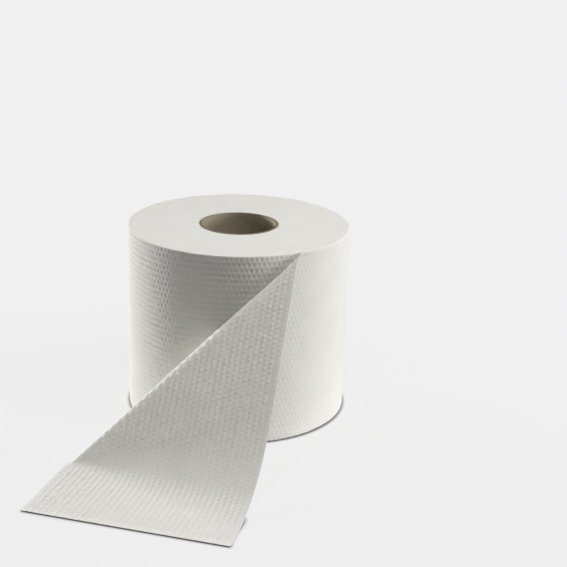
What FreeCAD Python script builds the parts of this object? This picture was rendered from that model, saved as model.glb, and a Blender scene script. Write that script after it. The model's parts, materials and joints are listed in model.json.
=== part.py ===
"""Embossed paper towel roll that stands on end, with its free end pulled off.

The web is one continuous sheet: it is wound on a cardboard core, leaves the roll
at the front, folds over a slanting line and lies down on the surface.

Frame: the roll's axis is Z, the surface it stands on is z = 0 and the front is -Y.
Lengths are in millimetres and angles in degrees.
"""
import FreeCAD
import Part
import os
from math import acos, atan2, cos, degrees, radians, sin, sqrt, tan
from FreeCAD import Vector

# Roll
roll_diameter = 210.0
web_width = 180.0            # length of the roll along its axis
sheet = 0.45                 # embossed two-ply sheet, as it lies
bands = 7                    # rings that show in the wound end faces
band_groove = 0.5            # width of the groove between two bands
band_depth = 0.25

# Core
core_bore = 70.0
core_wall = 2.0
core_glue = 0.05             # gap between the core and the first turn

# Free end: angles are taken from the front, towards +X on the roll
leave_angle = 15.0           # where the sheet's lower edge leaves the roll
fold_angle = 44.9            # rise of the fold along the sheet, from its foot
foot_radius = 6.0            # bend of the sheet's lower edge at the foot of the fold
top_angle = 27.0             # where the fold stands at the roll's top
top_gap = 12.5               # how far it stands off the roll's side there
knee_radius = 22.0           # bend of the upper edge over the fold
slope_angle = 59.3           # slope of the folded part
slope_turn = 18.2            # its heading, from the front towards -X
flare_radius = 120.0         # bend of the upper edge onto the floor
knee_share = 0.4             # share of the lower edge's bend that faces the knee
flare_share = 0.6            # share of it at which the upper edge starts to flare
tail_turn = 17.4             # heading of the part on the floor
tail_flat = 90.5             # from the foot of the fold to the torn end
splice = 0.6                 # overlap where two stretches of the sheet are joined

# Steps in the curved stretches of the sheet
knee_steps = 10
flare_steps = 8
peel_steps = 8

UP = Vector(0, 0, 1)
roll_radius = roll_diameter / 2
core_radius = core_bore / 2 + core_wall
hole_radius = core_radius + core_glue
peel_radius = roll_radius - sheet / 2    # the sheet leaves from within the last turn


def around(radius, angle, height=0.0):
    """Point at an angle round the roll, from the front towards +X."""
    turn = radians(angle)
    return Vector(radius * sin(turn), -radius * cos(turn), height)


def heading(angle):
    """Level direction at an angle from the front towards -X."""
    turn = radians(angle)
    return Vector(-sin(turn), -cos(turn), 0)


def unit(vector):
    return Vector(vector).normalize()


def peel_angle(point):
    """Angle round the roll at which a level tangent to the point leaves it."""
    distance = sqrt(point.x ** 2 + point.y ** 2)
    return degrees(atan2(point.x, -point.y) + acos(peel_radius / distance))


def bend(start, corner, end, radius):
    """Round the corner between two straight runs: the arc's points are a function of 0 to 1."""
    back = unit(start - corner)
    ahead = unit(end - corner)
    half = back.getAngle(ahead) / 2
    centre = corner + unit(back + ahead) * (radius / sin(half))
    first = unit(corner + back * (radius / tan(half)) - centre)
    side = unit(ahead - first * ahead.dot(first))
    sweep = radians(180) - 2 * half

    def at(share):
        return centre + (first * cos(sweep * share) + side * sin(sweep * share)) * radius

    def along(share):
        return side * cos(sweep * share) - first * sin(sweep * share)

    return at, along


def section(low, high, along):
    """Cross-section of the sheet on one straight line of its surface."""
    across = unit(along.cross(high - low)) * sheet
    return Part.makePolygon([low, high, high + across, low + across, low])


def wound_web():
    """The wound turns as one body: a spiral outline whose last turn ends in a step."""
    quarter = sheet / 4
    centre = Vector(0, 0, 0)
    radius = roll_radius
    edges = []
    for turn in range(4):
        start = leave_angle + 90 * turn
        ends = [centre + around(radius, start + step) for step in (0, 45, 90)]
        edges.append(Part.Arc(*ends).toShape())
        centre = centre + around(quarter, start + 90)
        radius -= quarter
    edges.append(Part.makeLine(ends[2], around(roll_radius, leave_angle)))
    outline = Part.Face(Part.Wire(edges))
    body = outline.extrude(UP * web_width)
    body = body.cut(Part.makeCylinder(hole_radius, web_width))
    return body.cut(band_grooves())


def band_grooves():
    """V grooves in both end faces, where bundles of turns lie a little lower."""
    pitch = (roll_radius - hole_radius) / (bands + 1)
    rings = []
    for band in range(1, bands + 1):
        middle = hole_radius + band * pitch
        for face, into in ((0.0, 1), (web_width, -1)):
            tip = Vector(middle, 0, face + into * band_depth)
            left = Vector(middle - band_groove / 2, 0, face)
            right = Vector(middle + band_groove / 2, 0, face)
            profile = Part.Face(Part.makePolygon([left, right, tip, left]))
            rings.append(profile.revolve(Vector(0, 0, 0), UP, 360))
    return Part.makeCompound(rings)


def free_end():
    """The sheet from the roll to its torn end."""
    leave = around(peel_radius, leave_angle)
    foot = leave + heading(90 - leave_angle) * (web_width / tan(radians(fold_angle)))
    left_corner = foot + heading(tail_turn) * tail_flat
    right_corner = left_corner + heading(tail_turn - 90) * web_width
    top = around(roll_radius + top_gap, top_angle, web_width)
    slope_run = web_width / tan(radians(slope_angle))
    slope_foot = top + heading(slope_turn) * slope_run - UP * web_width
    upper_leave = around(peel_radius, peel_angle(top), web_width)

    lower, _ = bend(leave, foot, left_corner, foot_radius)
    knee, knee_along = bend(upper_leave, top, slope_foot, knee_radius)
    flare, flare_along = bend(top, slope_foot, right_corner, flare_radius)

    sections = []
    for step in range(knee_steps + 1):
        share = step / knee_steps
        sections.append(section(lower(share * knee_share), knee(share), knee_along(share)))
    for step in range(flare_steps + 1):
        share = step / flare_steps
        low = lower(flare_share + share * (1 - flare_share))
        sections.append(section(low, flare(share), flare_along(share)))
    sections.append(section(left_corner, right_corner, heading(tail_turn)))
    folded = Part.makeLoft(sections, True, True)
    return peeled_sheet(lower(0), knee(0)).fuse(folded)


def peeled_sheet(low, high):
    """The sheet from where it leaves the roll to the start of the fold, in level lines."""
    sections = []
    for step in range(peel_steps + 1):
        height = 1 - (1 - step / peel_steps) ** 2
        edge = low + (high - low) * height
        start = around(peel_radius, peel_angle(edge), edge.z)
        ahead = unit(edge - start)
        edge = edge + ahead * splice
        inward = UP.cross(ahead) * -sheet
        sections.append(Part.makePolygon([start, edge, edge + inward, start + inward, start]))
    return Part.makeLoft(sections, True, False)


def paper_web():
    return wound_web().fuse(free_end()).removeSplitter()


def core():
    tube = Part.makeCylinder(core_radius, web_width)
    return tube.cut(Part.makeCylinder(core_bore / 2, web_width))


os.makedirs("parts", exist_ok=True)
for name, shape in (("paper_web", paper_web()), ("core", core())):
    shape.exportStep(os.path.join("parts", name + ".step"))
    print(name, "valid", shape.isValid(), "solids", len(shape.Solids), "volume", round(shape.Volume))
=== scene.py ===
import json
from math import acos, atan2, cos, hypot, pi, radians, sin, tan

import bmesh
import bpy
import numpy as np
from mathutils import Matrix, Vector, noise


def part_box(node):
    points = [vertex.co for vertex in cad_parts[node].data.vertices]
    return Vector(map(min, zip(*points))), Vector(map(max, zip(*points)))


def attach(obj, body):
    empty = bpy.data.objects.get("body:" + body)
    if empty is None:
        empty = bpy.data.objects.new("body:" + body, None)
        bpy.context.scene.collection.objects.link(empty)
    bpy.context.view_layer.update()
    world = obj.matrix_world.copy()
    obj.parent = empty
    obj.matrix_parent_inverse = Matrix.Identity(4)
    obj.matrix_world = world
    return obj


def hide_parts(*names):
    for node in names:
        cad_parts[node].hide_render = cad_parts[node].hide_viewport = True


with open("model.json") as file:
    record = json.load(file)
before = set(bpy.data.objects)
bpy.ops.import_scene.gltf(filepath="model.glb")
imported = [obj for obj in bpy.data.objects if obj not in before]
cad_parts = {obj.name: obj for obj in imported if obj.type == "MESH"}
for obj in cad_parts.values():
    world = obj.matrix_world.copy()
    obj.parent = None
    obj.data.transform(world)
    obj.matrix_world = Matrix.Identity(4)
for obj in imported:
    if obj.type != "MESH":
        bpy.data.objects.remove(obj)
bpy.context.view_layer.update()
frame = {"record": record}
bpy.ops.object.select_all(action="DESELECT")

# ---------------------------------------------------------------------------
# Camera: it stands in front of the roll, above it, and looks a little to the
# right of the roll's axis.
# ---------------------------------------------------------------------------
pan = 0.037487
tilt = 0.331969
roll = 0.028691
bpy.ops.object.camera_add(location=(0.0, -1.17342, 0.52489))
camera = bpy.context.object
camera.name = "camera"
camera.rotation_euler = (
    Matrix.Rotation(-pan, 3, "Z")
    @ Matrix.Rotation(pi / 2 - tilt, 3, "X")
    @ Matrix.Rotation(roll, 3, "Z")
).to_euler()
camera.data.lens = 81.674
camera.data.sensor_width = 36.0
camera.data.clip_start = 0.05
camera.data.clip_end = 30.0
bpy.context.scene.camera = camera
bpy.context.scene.view_settings.view_transform = "Standard"


# ---------------------------------------------------------------------------
# Cardboard core: a tube of spiral-wound greyboard plies, glued under the first
# turn of paper. Each wind of a ply meets the last one in a seam that climbs
# round the tube.
# ---------------------------------------------------------------------------
def node_material(name, roughness, specular):
    """A material with its Principled shader, and a function that adds and joins nodes."""
    material = bpy.data.materials.new(name)
    material.use_nodes = True
    tree = material.node_tree
    shader = tree.nodes["Principled BSDF"]
    shader.inputs["Roughness"].default_value = roughness
    shader.inputs["Specular IOR Level"].default_value = specular

    def add(kind, settings=(), **inputs):
        node = tree.nodes.new("ShaderNode" + kind)
        for setting, value in dict(settings).items():
            setattr(node, setting, value)
        for socket, value in inputs.items():
            target = node.inputs[socket.replace("_", " ")]
            if isinstance(value, bpy.types.NodeSocket):
                tree.links.new(value, target)
            else:
                target.default_value = value
        return node

    def join(output, target):
        tree.links.new(output, target)

    return material, shader, add, join


def colour(red, green, blue):
    """Display colour, 0 to 255, as the linear colour that a shader reads."""
    linear = [(v / 255 / 12.92) if v <= 10 else ((v / 255 + 0.055) / 1.055) ** 2.4
              for v in (red, green, blue)]
    return (*linear, 1.0)


def rise(edge):
    """Difference in height between an edge's two ends."""
    low, high = (vertex.co.z for vertex in edge.verts)
    return abs(high - low)


def select_edges(piece, wanted):
    """Select only the wanted edges of a piece that is in edit mode."""
    bpy.ops.mesh.select_all(action="DESELECT")
    edit = bmesh.from_edit_mesh(piece.data)
    for edge in edit.edges:
        edge.select = wanted(edge)
    bmesh.update_edit_mesh(piece.data)


def smooth_outside(degrees):
    """Turn the active piece's faces outwards, and shade it smooth up to an angle."""
    bpy.ops.object.mode_set(mode="EDIT")
    bpy.ops.mesh.select_all(action="SELECT")
    bpy.ops.mesh.normals_make_consistent(inside=False)
    bpy.ops.object.mode_set(mode="OBJECT")
    bpy.ops.object.shade_smooth_by_angle(angle=radians(degrees))


def paint(piece, sides, ends):
    """Give a piece one material on its sides and another on its level ends."""
    upright = 0.7            # least rise of an end face's normal
    piece.data.materials.clear()
    piece.data.materials.append(sides)
    piece.data.materials.append(ends)
    for face in piece.data.polygons:
        face.material_index = int(abs(face.normal.z) > upright)


core_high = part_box("core")[1]
width = core_high.z
core_radius = core_high.x
bore_radius = frame["record"]["mounts"][0]["dims"]["r_mm"] / 1000
core_columns = 120           # faces round the tube, and rows of them up it
core_rows = 90
ply_climb = 0.095            # rise of a seam in one turn
ply_step = 0.0003            # thickness of a ply at its seam

bpy.ops.mesh.primitive_cylinder_add(
    vertices=core_columns, radius=bore_radius, depth=width,
    end_fill_type="NOTHING", location=(0, 0, width / 2))
core = bpy.context.object
core.name = "core_tube"
bpy.ops.object.transform_apply(location=True)
bpy.ops.object.mode_set(mode="EDIT")
bpy.ops.mesh.select_mode(type="EDGE")
select_edges(core, lambda edge: rise(edge) > width / 2)
bpy.ops.mesh.subdivide(number_cuts=core_rows - 1)
bpy.ops.object.mode_set(mode="OBJECT")
wall = core.modifiers.new("wall", "SOLIDIFY")
wall.thickness = core_radius - bore_radius
wall.offset = 1.0
bpy.ops.object.modifier_apply(modifier=wall.name)
for vertex in core.data.vertices:
    radius = hypot(vertex.co.x, vertex.co.y)
    turn = atan2(vertex.co.y, vertex.co.x) / (2 * pi)
    share = (vertex.co.z / ply_climb - turn) % 1.0
    if radius < (core_radius + bore_radius) / 2:
        grown = bore_radius + ply_step * share
        vertex.co.x *= grown / radius
        vertex.co.y *= grown / radius
smooth_outside(50)


def greyboard(name, dark, light):
    """Grey cardboard: recycled fibres in two shades, with larger blotches."""
    material, shader, add, join = node_material(name, 0.85, 0.25)
    place = add("TexCoord")
    fibres = add("TexNoise", Scale=900.0, Detail=6.0, Roughness=0.7,
                 Vector=place.outputs["Object"])
    blotches = add("TexNoise", Scale=60.0, Detail=4.0, Roughness=0.6,
                   Vector=place.outputs["Object"])
    shades = add("ValToRGB", Fac=fibres.outputs["Fac"])
    shades.color_ramp.elements[0].position = 0.3
    shades.color_ramp.elements[0].color = dark
    shades.color_ramp.elements[1].position = 0.7
    shades.color_ramp.elements[1].color = light
    mottle = add("Mix", {"data_type": "RGBA", "blend_type": "MULTIPLY"}, Factor=0.2)
    join(shades.outputs["Color"], mottle.inputs["A"])
    join(blotches.outputs["Color"], mottle.inputs["B"])
    grain = add("Bump", Strength=0.4, Distance=0.0002, Height=fibres.outputs["Fac"])
    join(mottle.outputs["Result"], shader.inputs["Base Color"])
    join(grain.outputs["Normal"], shader.inputs["Normal"])
    return material


paint(core,
      greyboard("greyboard", colour(160, 150, 127), colour(202, 192, 169)),
      greyboard("cut_board", colour(118, 109, 92), colour(152, 143, 124)))
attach(core, "root")
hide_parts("core")

# ---------------------------------------------------------------------------
# Wound turns: two-ply tissue wound tight on the core. Its outer face is covered
# with small round dimples, pressed in staggered rows that run round the roll.
# ---------------------------------------------------------------------------
roll_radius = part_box("paper_web")[1].x
sheet = 0.00045              # thickness of a turn
per_dimple = 4               # columns, and rows, of faces from one dimple to the next
columns = 147 * per_dimple   # round the roll
rows = 34 * per_dimple       # up it
seam_column = 92             # where the last turn starts to show as the free end
dimple_depth = 0.00105       # depth of a dimple on the roll, and half its width
dimple_spread = 0.0008
taut_share = 0.2             # what is left of a dimple where the last turn is pulled tight
front_share = 0.7            # and on the turn below it, where that leaves the roll
slack_places = (0.0, 0.3, 0.65, 0.85)    # shares of a turn, from the seam
slack_shares = (taut_share, 1.0, 1.0, front_share)    # and what is left of a dimple there
uneven_share = 0.4           # most that the depth differs from place to place
uneven_patch = 5.0           # columns and rows from a deep place to a shallow one
lap = 0.00005                # how closely the last turn and the one below it meet at the seam
top_rim = 0.0006             # rounding of the last turn's edges
foot_rim = 0.0018
rim_width = 0.0026           # how far in from the roll's side the end faces start
turn_relief = 0.00025        # most that a turn's edge lies below the end face
core_gap = 0.0008            # gap that opens round the core's ends, and its depth
core_gap_depth = 0.002
core_gap_taper = 0.8         # width of the gap's bottom, as a share of its top's
core_clearance = 0.00005     # between the hole and the tube
column_step = 2 * pi * roll_radius / columns
row_step = width / rows
seam_angle = 2 * pi * seam_column / columns


def dimple(column, row, length):
    """Depth of the embossing at a column and row of the sheet, as a share of 1."""
    half = per_dimple // 2
    line = round((row - half) / per_dimple)
    line = min(max(line, 0), rows // per_dimple - 1)
    across = (row - half - per_dimple * line) * row_step
    along = (column - half * (line % 2)) % per_dimple
    along = min(along, per_dimple - along) * column_step
    return np.exp(-(along / length) ** 2 / 2 - (across / dimple_spread) ** 2 / 2)


def unevenness(column, row):
    """Factor by which the embossing is deeper or shallower at a place of the sheet."""
    return 1 + uneven_share * noise.noise(Vector((column / uneven_patch, row / uneven_patch, 0)))


bpy.ops.mesh.primitive_cylinder_add(
    vertices=columns, radius=roll_radius, depth=width,
    end_fill_type="NOTHING", location=(0, 0, width / 2))
turns = bpy.context.object
turns.name = "wound_turns"
bpy.ops.object.transform_apply(location=True)
bpy.ops.object.mode_set(mode="EDIT")
bpy.ops.mesh.select_mode(type="EDGE")
select_edges(turns, lambda edge: rise(edge) > width / 2)
bpy.ops.mesh.subdivide(number_cuts=rows // per_dimple - 1)
select_edges(turns, lambda edge: rise(edge) > row_step)
bpy.ops.mesh.subdivide(number_cuts=per_dimple - 1)
bpy.ops.object.mode_set(mode="OBJECT")
for vertex in turns.data.vertices:
    angle = (atan2(vertex.co.x, -vertex.co.y) - seam_angle) % (2 * pi)
    column = round(angle / (2 * pi) * columns) % columns
    row = round(vertex.co.z / row_step)
    radius = roll_radius - (lap if column == columns - 1 else sheet * column / columns)
    if 0 < row < rows:
        slackness = np.interp(column / columns, slack_places, slack_shares)
        embossed = dimple(-column, row, dimple_spread) * unevenness(column, row)
        radius -= dimple_depth * slackness * embossed
    else:
        radius -= top_rim if row else foot_rim
    vertex.co.x *= radius / roll_radius
    vertex.co.y *= radius / roll_radius


def at_height(edge, height, tolerance=1e-6):
    """Whether both ends of an edge lie at a height."""
    return all(abs(vertex.co.z - height) < tolerance for vertex in edge.verts)


# Each end face starts as a ring bridged to the rim. It is extruded inwards ring by ring,
# each at a level of its own as the turns' edges are, and down into the gap round the
# core. The first ring stands well off the rim while it is bridged, and is then set level.
face_columns = columns // 4  # faces round a ring, fewer than round the roll
face_rings = 44
first_radius = roll_radius - rim_width
ring_step = (first_radius - core_radius - core_gap) / face_rings
bridge_lift = 0.02
chance = np.random.default_rng(7)
for face_height, outwards in ((width, 1), (0.0, -1)):
    lifted = face_height + outwards * bridge_lift
    bpy.ops.object.mode_set(mode="EDIT")
    bpy.ops.mesh.select_all(action="DESELECT")
    bpy.ops.mesh.primitive_circle_add(
        vertices=face_columns, radius=first_radius, location=(0, 0, lifted))
    select_edges(turns, lambda edge: at_height(edge, lifted)
                 or (edge.is_boundary and at_height(edge, face_height)))
    bpy.ops.mesh.bridge_edge_loops()
    select_edges(turns, lambda edge: at_height(edge, lifted))
    bpy.ops.transform.translate(value=(0, 0, face_height - lifted))
    rings = []
    for ring in range(face_rings):
        rings.append((first_radius - ring_step * (ring + 1), -turn_relief * chance.random() ** 2))
    rings.append((core_radius + core_gap * core_gap_taper, -core_gap_depth))
    rings.append((core_radius + core_clearance, -core_gap_depth))
    radius = first_radius
    height = 0.0
    for ring_radius, ring_height in rings:
        bpy.ops.mesh.extrude_edges_move()
        bpy.ops.transform.resize(value=(ring_radius / radius, ring_radius / radius, 1.0),
                                 center_override=(0, 0, face_height))
        bpy.ops.transform.translate(value=(0, 0, (ring_height - height) * outwards))
        radius = ring_radius
        height = ring_height
    bpy.ops.object.mode_set(mode="OBJECT")
bpy.ops.object.mode_set(mode="EDIT")
select_edges(turns, lambda edge: edge.is_boundary)
bpy.ops.mesh.bridge_edge_loops()
smooth_outside(40)


def tissue(name, ends):
    """Off-white tissue: soft fibres, and on the roll's ends the edges of its turns."""
    material, shader, add, join = node_material(name, 0.92, 0.15)
    shader.inputs["Subsurface Weight"].default_value = 1.0
    shader.inputs["Subsurface Radius"].default_value = (1.0, 1.0, 1.0)
    shader.inputs["Subsurface Scale"].default_value = 0.0003
    place = add("TexCoord")
    fibres = add("TexNoise", Scale=1400.0, Detail=5.0, Roughness=0.65,
                 Vector=place.outputs["Object"])
    clouds = add("TexNoise", Scale=45.0, Detail=3.0, Roughness=0.5,
                 Vector=place.outputs["Object"])
    shades = add("ValToRGB", Fac=clouds.outputs["Fac"])
    shades.color_ramp.elements[0].position = 0.25
    shades.color_ramp.elements[0].color = colour(237, 235, 228)
    shades.color_ramp.elements[1].position = 0.75
    shades.color_ramp.elements[1].color = colour(242, 240, 234)
    join(shades.outputs["Color"], shader.inputs["Base Color"])
    fuzz = add("Bump", Strength=0.35, Distance=0.00012, Height=fibres.outputs["Fac"])
    if ends:
        rings = add("TexWave", {"wave_type": "RINGS", "rings_direction": "Z"},
                    Scale=350.0, Distortion=1.5, Detail=2.0,
                    Vector=place.outputs["Object"])
        layers = add("Bump", Strength=0.3, Distance=0.0001,
                     Height=rings.outputs["Fac"], Normal=fuzz.outputs["Normal"])
        join(layers.outputs["Normal"], shader.inputs["Normal"])
    else:
        join(fuzz.outputs["Normal"], shader.inputs["Normal"])
    return material


tissue_face = tissue("tissue_face", False)
paint(turns, tissue_face, tissue("tissue_ends", True))
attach(turns, "root")
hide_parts("paper_web")

# ---------------------------------------------------------------------------
# Free end: the same sheet, pulled off the front of the roll, folded over a
# slanting line and laid down. Its torn end lies on the surface in front, and
# its inner face, on which the dimples stand out, is uppermost.
# ---------------------------------------------------------------------------
leave_angle = 15.0           # where the sheet's lower edge leaves the roll, from the front to +X
fold_angle = 44.9            # rise of the fold along the sheet, from its foot
foot_radius = 0.006          # bend of the lower edge at the foot of the fold
top_angle = 29.0             # where the fold stands at the roll's top, and how far off its side
top_gap = 0.004
knee_radius = 0.014          # bend of the upper edge over the fold
slope_angle = 57.25          # slope of the folded part, and its heading from the front to -X
slope_turn = 16.5
flare_radius = 0.120         # bend of the upper edge onto the surface
knee_share = 0.4             # share of the lower edge's bend that faces the knee
flare_share = 0.6            # share of it at which the upper edge starts to flare
tail_turn = 17.4             # heading of the part on the surface
tail_flat = 0.0905           # from the foot of the fold to the torn end
fold_clearance = 0.0008      # least distance from the roll to the folded part
tail_thickness = 0.0004
end_lift = 0.0010            # how far the torn end's edge stands off the surface
end_curl = 0.010             # length over which it rises
loose_depth = 0.0012         # depth of the loose sheet's dimples
loose_gap = 0.008            # distance from the roll at which the sheet hangs quite loose
hang_height = 0.03           # height from which its weight pulls fully at the embossing
stretched = 0.0010           # length of a dimple there
rib_depth = 0.0008           # grooves into which that pull draws the rows of dimples
flat_share = 0.6             # what is left of a dimple where the sheet lies flat
eased_share = 0.5            # what is left of one just before the sheet leaves the roll
eased_start = 0.02           # distance from the seam at which a dimple starts to ease
eased_run = 0.05             # and the length over which it does
edge_rows = 4                # rows over which the embossing fades to a loose side edge
half_flat_bend = 70.0        # bend of the sheet, per metre, that halves a dimple's depth
smoothing_passes = 6         # each moves a point halfway to the middle of its neighbours


def around(radius, degrees, height=0.0):
    """Point at an angle round the roll, from the front towards +X."""
    turn = radians(degrees)
    return np.array([radius * sin(turn), -radius * cos(turn), height])


def heading(degrees):
    """Level direction at an angle from the front towards -X."""
    turn = radians(degrees)
    return np.array([-sin(turn), -cos(turn), 0.0])


def unit(vector):
    """Vector of length 1 in the same direction."""
    return vector / np.linalg.norm(vector)


def peel_turn(point):
    """Angle round the roll, in radians, at which a level tangent to the point leaves it."""
    return atan2(point[0], -point[1]) + acos(roll_radius / hypot(point[0], point[1]))


def rounded(start, corner, end, radius, shares):
    """Points on the arc that rounds the corner between two straight runs."""
    back = unit(start - corner)
    ahead = unit(end - corner)
    half = acos(float(back @ ahead)) / 2
    centre = corner + unit(back + ahead) * radius / sin(half)
    first = unit(corner + back * radius / tan(half) - centre)
    side = unit(ahead - first * (ahead @ first))
    sweep = (pi - 2 * half) * shares
    return centre + radius * (np.outer(np.cos(sweep), first) + np.outer(np.sin(sweep), side))


leave = around(roll_radius, leave_angle)
foot = leave + heading(90 - leave_angle) * width / tan(radians(fold_angle))
left_corner = foot + heading(tail_turn) * tail_flat
right_corner = left_corner + heading(tail_turn - 90) * width
fold_top = around(roll_radius + top_gap, top_angle, width)
slope_foot = fold_top + heading(slope_turn) * width / tan(radians(slope_angle))
slope_foot[2] = 0.0
top_turn = peel_turn(fold_top)
top_leave = np.array([roll_radius * sin(top_turn), -roll_radius * cos(top_turn), width])

samples = 60                 # points on each stretch of a line
shares = np.linspace(0, 1, samples)
stretches = ((0.0, knee_share), (knee_share, flare_share), (flare_share, 1.0))
lower = np.vstack([
    rounded(leave, foot, left_corner, foot_radius, start + shares * (end - start))
    for start, end in stretches
])
lower = np.vstack([lower, lower[-1] + np.outer(shares, left_corner - lower[-1])])
knee = rounded(top_leave, fold_top, slope_foot, knee_radius, shares)
flare = rounded(fold_top, slope_foot, right_corner, flare_radius, shares)
upper = np.vstack([
    knee,
    knee[-1] + np.outer(shares, flare[0] - knee[-1]),
    flare,
    flare[-1] + np.outer(shares, right_corner - flare[-1]),
])

# Each row of the sheet is a line of its own: round the roll, off it on the level,
# over the fold and out to the torn end. Distances along it are the sheet's own.
row_lines = []
for row in range(rows + 1):
    share = row / rows
    folded = lower * (1 - share) + upper * share
    reach = np.hypot(folded[:, 0], folded[:, 1])
    folded[:, :2] *= (np.maximum(reach, roll_radius + fold_clearance) / reach)[:, None]
    turn = peel_turn(folded[0])
    angles = np.linspace(seam_angle, turn, samples)
    wound = np.stack([roll_radius * np.sin(angles), -roll_radius * np.cos(angles),
                      np.full(samples, folded[0][2])], axis=1)
    level = wound[-1] + np.outer(shares, folded[0] - wound[-1])
    line = np.vstack([wound, level[1:], folded[1:]])
    steps = np.linalg.norm(np.diff(line, axis=0), axis=1)
    keep = np.concatenate([[True], steps > 1e-9])
    line = line[keep]
    distance = np.concatenate([[0.0], np.cumsum(np.linalg.norm(np.diff(line, axis=0), axis=1))])
    row_lines.append((line, distance))
lengths = np.array([distance[-1] for line, distance in row_lines])
tail_columns = round(lengths.mean() / column_step)
places = np.arange(tail_columns + 1) * column_step
grid = np.zeros((rows + 1, tail_columns + 1, 3))
for row, (line, distance) in enumerate(row_lines):
    distance = distance * places[-1] / distance[-1]
    for axis in range(3):
        grid[row, :, axis] = np.interp(places, distance, line[:, axis])

# Corners along a row are smoothed, and the torn end's edge is curled up a little.
for smoothing in range(smoothing_passes):
    grid[:, 1:-1] += 0.25 * (grid[:, :-2] + grid[:, 2:] - 2 * grid[:, 1:-1])
curl = np.clip((places - places[-1] + end_curl) / end_curl, 0.0, 1.0)
grid[:, :, 2] += end_lift * curl ** 2

along = np.gradient(grid, axis=1)
across = np.gradient(grid, axis=0)
outward = np.cross(along, across)
outward /= np.linalg.norm(outward, axis=2, keepdims=True)
if outward[rows // 2, 1, 0] < 0:         # at the seam, outward is to the right
    outward = -outward

# The embossing is nearly flat on the taut turn, deep where the sheet hangs loose, with
# its rows drawn into grooves, and shallower where it lies flat. It is drawn out at the
# fold and fades to the loose side edges, and the wound edges are rounded as the rim is.
loose = np.clip((np.hypot(grid[:, :, 0], grid[:, :, 1]) - roll_radius) / loose_gap, 0.0, 1.0)
raised = np.clip(grid[:, :, 2] / hang_height, 0.0, 1.0) * loose
bend = np.zeros(grid.shape[:2])
bend[:, 1:-1] = np.linalg.norm(grid[:, :-2] + grid[:, 2:] - 2 * grid[:, 1:-1], axis=2)
bend /= column_step ** 2
depth = np.zeros(grid.shape[:2])
uneven = np.ones(grid.shape[:2])
for row in range(1, rows):
    for column in range(tail_columns):
        length = dimple_spread + (stretched - dimple_spread) * raised[row, column]
        depth[row, column] = dimple(column, row, length)
        uneven[row, column] = unevenness(column, row)
easing = np.clip((places - eased_start) / eased_run, 0.0, 1.0)
wound_share = taut_share + (eased_share - taut_share) * easing
depth *= (dimple_depth * wound_share * (1 - loose)
          + loose_depth * loose * (flat_share + (1 - flat_share) * raised))
grooves = (1 + np.cos(2 * pi / per_dimple * (np.arange(rows + 1) - per_dimple // 2))) / 2
depth += rib_depth * raised ** 2 * grooves[:, None]
inset = np.minimum(np.arange(rows + 1), np.arange(rows, -1, -1))
margin = np.clip(inset / edge_rows, 0.0, 1.0)
depth *= uneven * (1 - loose * (1 - margin)[:, None])
depth /= 1 + (bend / half_flat_bend) ** 2
depth[0] = foot_rim * (1 - loose[0])
depth[-1] = top_rim * (1 - loose[-1])
depth[:, 0] += lap
outer = grid - outward * depth[:, :, None]
inner = grid - outward * (tail_thickness + depth)[:, :, None]

# Outer face, inner face, and the four edges between them.
vertices = np.concatenate([outer.reshape(-1, 3), inner.reshape(-1, 3)])
stride = tail_columns + 1
layer = stride * (rows + 1)
faces = []
for row in range(rows):
    for column in range(tail_columns):
        corner = row * stride + column
        quad = (corner, corner + 1, corner + 1 + stride, corner + stride)
        faces.append(quad)
        faces.append(tuple(layer + v for v in reversed(quad)))
for row in range(rows):
    for column, flip in ((0, False), (tail_columns, True)):
        corner = row * stride + column
        quad = (corner, corner + stride, corner + stride + layer, corner + layer)
        faces.append(quad[::-1] if flip else quad)
for column in range(tail_columns):
    for row, flip in ((0, True), (rows, False)):
        corner = row * stride + column
        quad = (corner, corner + 1, corner + 1 + layer, corner + layer)
        faces.append(quad if flip else quad[::-1])
mesh = bpy.data.meshes.new("free_end")
mesh.from_pydata(vertices.tolist(), [], faces)
mesh.update()
tail = bpy.data.objects.new("free_end", mesh)
bpy.context.scene.collection.objects.link(tail)
bpy.ops.object.select_all(action="DESELECT")
tail.select_set(True)
bpy.context.view_layer.objects.active = tail
smooth_outside(60)
tail.data.materials.append(tissue_face)
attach(tail, "root")
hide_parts("paper_web")

# ---------------------------------------------------------------------------
# Studio: a plain pale floor and five round soft lights: one high on the right,
# low ones on the right, on the left and behind on the left, and a small one
# overhead. The camera sees an almost even ground, with a painted contact shadow
# under the paper; the roll gets painted bounce light from a bright patch of floor.
# ---------------------------------------------------------------------------
bpy.ops.mesh.primitive_plane_add(size=20.0, location=(0, 0, 0))
floor = bpy.context.object
floor.name = "floor"
ground, shader, add, join = node_material("ground", 0.9, 0.1)

# What the roll sees: a painted pool of light, a bright round patch of floor colour about it and
# in front, and dim floor beyond, which throws painted bounce light onto the roll.
place = add("TexCoord")
centred = add("Mapping", Vector=place.outputs["Object"])
centred.inputs["Location"].default_value = (0.22, 0.33, 0.0)
centred.inputs["Scale"].default_value = (2.2, 2.2, 2.2)
nearness = add("TexGradient", {"gradient_type": "SPHERICAL"}, Vector=centred.outputs["Vector"])
# Painted light: the floor's colour is bright near the roll and dark far off, so the light it
# throws back is a painted pool of light.
shades = add("ValToRGB", Fac=nearness.outputs["Fac"])
shades.color_ramp.elements[0].color = colour(89, 89, 89)
shades.color_ramp.elements[1].position = 0.6
shades.color_ramp.elements[1].color = colour(228, 228, 228)
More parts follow.
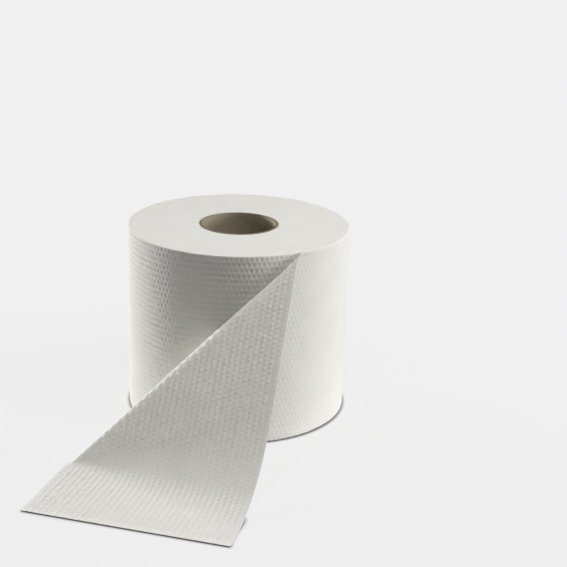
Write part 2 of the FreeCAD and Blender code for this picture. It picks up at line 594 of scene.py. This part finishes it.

# What the camera sees: an even tone, with a painted contact shadow where the paper nearly touches
# the floor.
# Near the roll, a tenth of it is the floor's own shade.
seen = add("LightPath")
pale = add("Mix", {"data_type": "RGBA"})
pale.inputs["B"].default_value = colour(243, 243, 243)
join(seen.outputs["Is Camera Ray"], pale.inputs["Factor"])
join(shades.outputs["Color"], pale.inputs["A"])
join(pale.outputs["Result"], shader.inputs["Base Color"])
# Painted contact shadow: occlusion within a few millimetres dims the floor's even glow.
contact = add("AmbientOcclusion", {"samples": 16}, Distance=0.004)
painted_contact_shadow = add("Math", {"operation": "POWER"})
painted_contact_shadow.inputs[1].default_value = 2.0
join(contact.outputs["AO"], painted_contact_shadow.inputs[0])
even_tone = add("Emission", Color=colour(240, 240, 240))
join(painted_contact_shadow.outputs["Value"], even_tone.inputs["Strength"])
nearby = add("MapRange", Value=nearness.outputs["Fac"])
nearby.inputs["From Max"].default_value = 0.4
nearby.inputs["To Min"].default_value = 1.0
nearby.inputs["To Max"].default_value = 0.9
even_share = add("Math", {"operation": "MULTIPLY"})
join(seen.outputs["Is Camera Ray"], even_share.inputs[0])
join(nearby.outputs["Result"], even_share.inputs[1])
mixed = add("MixShader")
join(even_share.outputs["Value"], mixed.inputs[0])
join(shader.outputs["BSDF"], mixed.inputs[1])
join(even_tone.outputs["Emission"], mixed.inputs[2])
join(mixed.outputs["Shader"], ground.node_tree.nodes["Material Output"].inputs["Surface"])
floor.data.materials.append(ground)


def softbox(name, place, size, power):
    """Round area light at a place, turned to the roll's middle."""
    bpy.ops.object.light_add(type="AREA", location=place)
    lamp = bpy.context.object
    lamp.name = name
    lamp.data.shape = "DISK"
    lamp.data.size = size
    lamp.data.energy = power
    aim = Vector((0, 0, width / 2)) - Vector(place)
    lamp.rotation_euler = aim.to_track_quat("-Z", "Y").to_euler()


softbox("key_light", (0.61, -0.35, 1.41), 0.8, 11.6)
softbox("right_light", (2.17, -0.19, 0.40), 0.8, 29.0)
softbox("back_light", (-1.89, 1.09, 0.40), 0.25, 39.0)
softbox("left_light", (-2.14, -0.30, 0.45), 0.5, 6.5)
softbox("top_light", (-0.24, -0.14, 1.36), 0.2, 2.8)

# The world is as pale as the floor to the camera, and throws no light.
world = bpy.data.worlds.new("studio")
bpy.context.scene.world = world
world.use_nodes = True
background = world.node_tree.nodes["Background"]
background.inputs["Color"].default_value = colour(240, 240, 240)
seen = world.node_tree.nodes.new("ShaderNodeLightPath")
world.node_tree.links.new(seen.outputs["Is Camera Ray"], background.inputs["Strength"])
